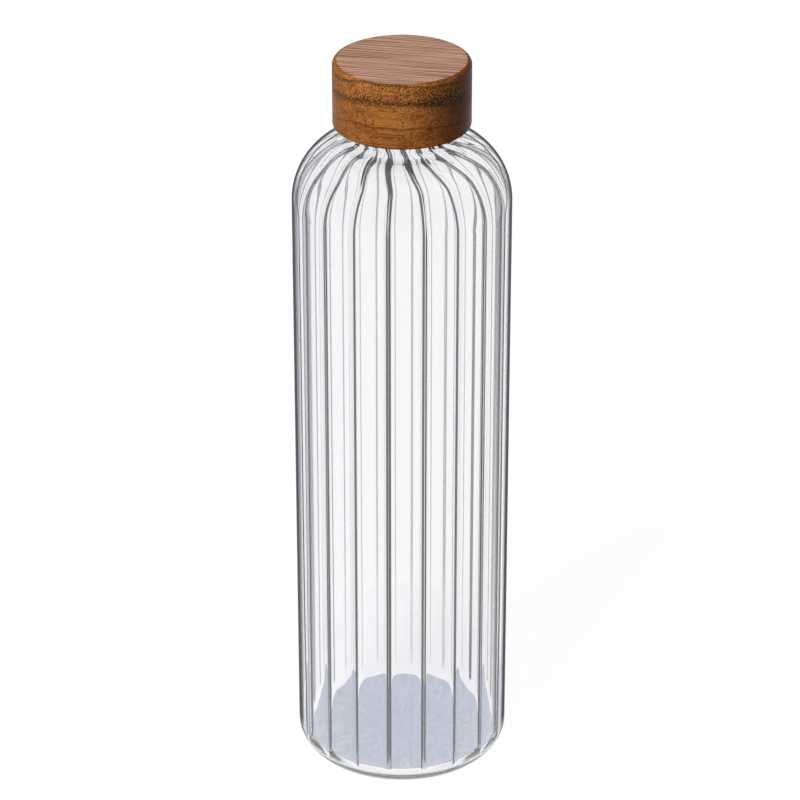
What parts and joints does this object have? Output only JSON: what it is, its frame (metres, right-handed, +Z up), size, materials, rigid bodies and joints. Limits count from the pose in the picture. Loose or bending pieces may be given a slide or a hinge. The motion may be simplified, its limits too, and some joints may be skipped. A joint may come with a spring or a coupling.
{
  "type": "water bottle",
  "caption": "Tall straight-sided glass water bottle with upright ribs inside its wall, rounded shoulders, a short threaded neck and a turned wooden screw cap.",
  "frame": {"origin": "centre of the ring on which the bottle stands, on the bottle's axis", "axes": "+Z up the bottle's axis towards the cap; +X and +Y are the same all round, and a rib lies on each side of the axis along X"},
  "size_m": [0.08, 0.08, 0.2826],
  "materials": {
    "clear_glass": "clear, fire-polished",
    "silicone": "matt, slightly translucent",
    "liner_plastic": "satin, moulded",
    "cap_wood": "oiled, fine open grain"
  },
  "bodies": {
    "bottle": {"glass_bottle": "clear_glass"},
    "seal": {"seal_ring": "silicone"},
    "cap": {"cap_liner": "liner_plastic", "wood_cap": "cap_wood"}
  },
  "joints": [
    {"name": "cap_lift", "type": "slide", "parent": "bottle", "child": "seal", "axis": [0, 0, 1], "range_m": [0, 0.016]},
    {"name": "cap_turn", "type": "hinge", "parent": "seal", "child": "cap", "pos_m": [0, 0, 0.2711], "axis": [0, 0, 1], "range_deg": [0, 720]}
  ],
  "couplings": [
    {"joint": "cap_lift", "follows": "cap_turn", "m_per_rad": 0.0012732}
  ]
}
